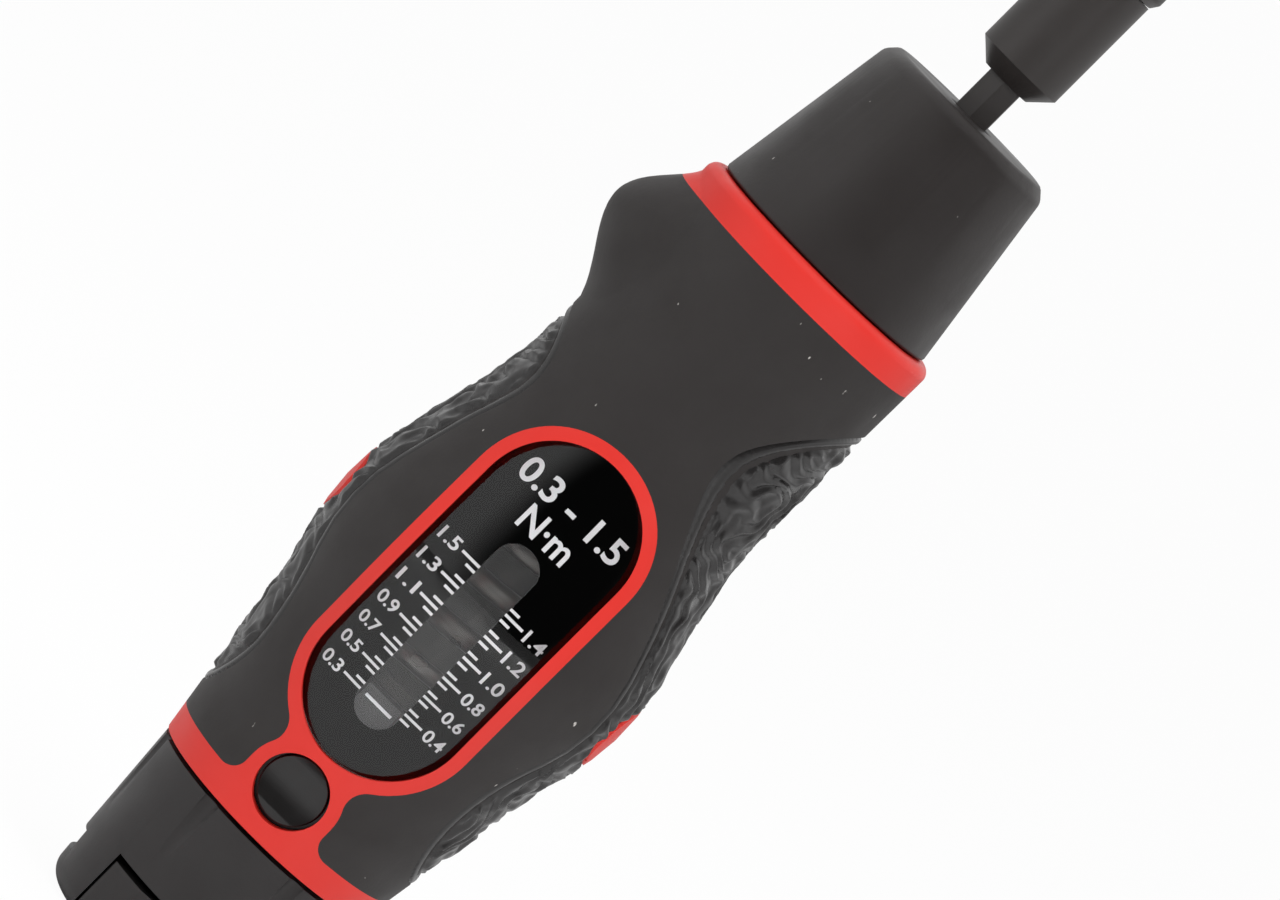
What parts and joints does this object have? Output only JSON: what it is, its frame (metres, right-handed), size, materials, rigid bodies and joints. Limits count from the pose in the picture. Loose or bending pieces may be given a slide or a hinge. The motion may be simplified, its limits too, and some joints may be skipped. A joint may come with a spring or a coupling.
{
  "type": "torque screwdriver",
  "caption": "Adjustable torque screwdriver with a soft bulbous grip, a sight window with a sliding pointer on a moment scale, a setting knob, a push button and a bit holder with a collar.",
  "frame": {"origin": "centre of the setting knob's flat end, on which the tool stands", "axes": "+Z along the tool's axis towards the bit, -Y the front with the window and the button, +X to the right seen from the front"},
  "size_m": [0.0389, 0.0373, 0.15],
  "materials": {
    "red_plastic": "satin",
    "black_plastic": "satin",
    "grip_rubber": "matte",
    "clear_plastic": "polished",
    "scale_black": "matte",
    "black_steel": "satin",
    "bright_steel": "satin",
    "hard_steel": "polished",
    "bronze": "satin"
  },
  "bodies": {
    "handle": {"handle_shell": "red_plastic", "grip_sleeve": "grip_rubber", "scale_plate": "scale_black", "window_lens": "clear_plastic", "rear_bulkhead": "bright_steel", "thrust_washer": "bronze", "rear_clip": "black_steel", "mechanism_tube": "bright_steel", "spindle_washer": "bronze", "nose_bush": "bronze", "nose_cone": "black_plastic", "main_spring": "bright_steel", "button_spring": "bright_steel"},
    "knob": {"setting_knob": "black_plastic", "end_cap": "black_plastic", "knob_screw": "black_steel", "setting_screw": "bright_steel", "index_ring": "black_plastic"},
    "nut": {"setting_nut": "bright_steel", "pointer": "scale_black"},
    "button": {"release_button": "black_plastic"},
    "clutch": {"pressure_plate": "bright_steel", "clutch_balls": "hard_steel"},
    "spindle": {"output_spindle": "bright_steel", "hex_shaft": "black_steel", "bit_holder": "black_steel", "bit_magnet": "hard_steel", "lock_ball": "hard_steel", "holder_clip": "bright_steel", "collar_spring": "bright_steel"},
    "collar": {"release_collar": "black_steel"}
  },
  "joints": [
    {"name": "knob_turn", "type": "hinge", "parent": "handle", "child": "knob", "pos_m": [0, 0, 0.022], "axis": [0, 0, 1], "range_deg": [0, 4320]},
    {"name": "nut_slide", "type": "slide", "parent": "handle", "child": "nut", "axis": [0, 0, 1], "range_m": [0, 0.0165], "deforming": ["main_spring"]},
    {"name": "button_press", "type": "slide", "parent": "handle", "child": "button", "axis": [0, 1, 0], "range_m": [0, 0.0012], "stiffness_N_per_m": 400, "springref_m": -0.001},
    {"name": "clutch_lift", "type": "slide", "parent": "handle", "child": "clutch", "axis": [0, 0, -1], "range_m": [0, 0.0006], "stiffness_N_per_m": 2000, "springref_m": -0.002},
    {"name": "spindle_turn", "type": "hinge", "parent": "handle", "child": "spindle", "pos_m": [0, 0, 0.1], "axis": [0, 0, 1], "continuous": true},
    {"name": "collar_pull", "type": "slide", "parent": "spindle", "child": "collar", "axis": [0, 0, 1], "range_m": [0, 0.0025], "stiffness_N_per_m": 300, "springref_m": -0.002, "deforming": ["collar_spring"]}
  ],
  "couplings": [
    {"joint": "nut_slide", "follows": "knob_turn", "m_per_rad": 0.00021884}
  ]
}
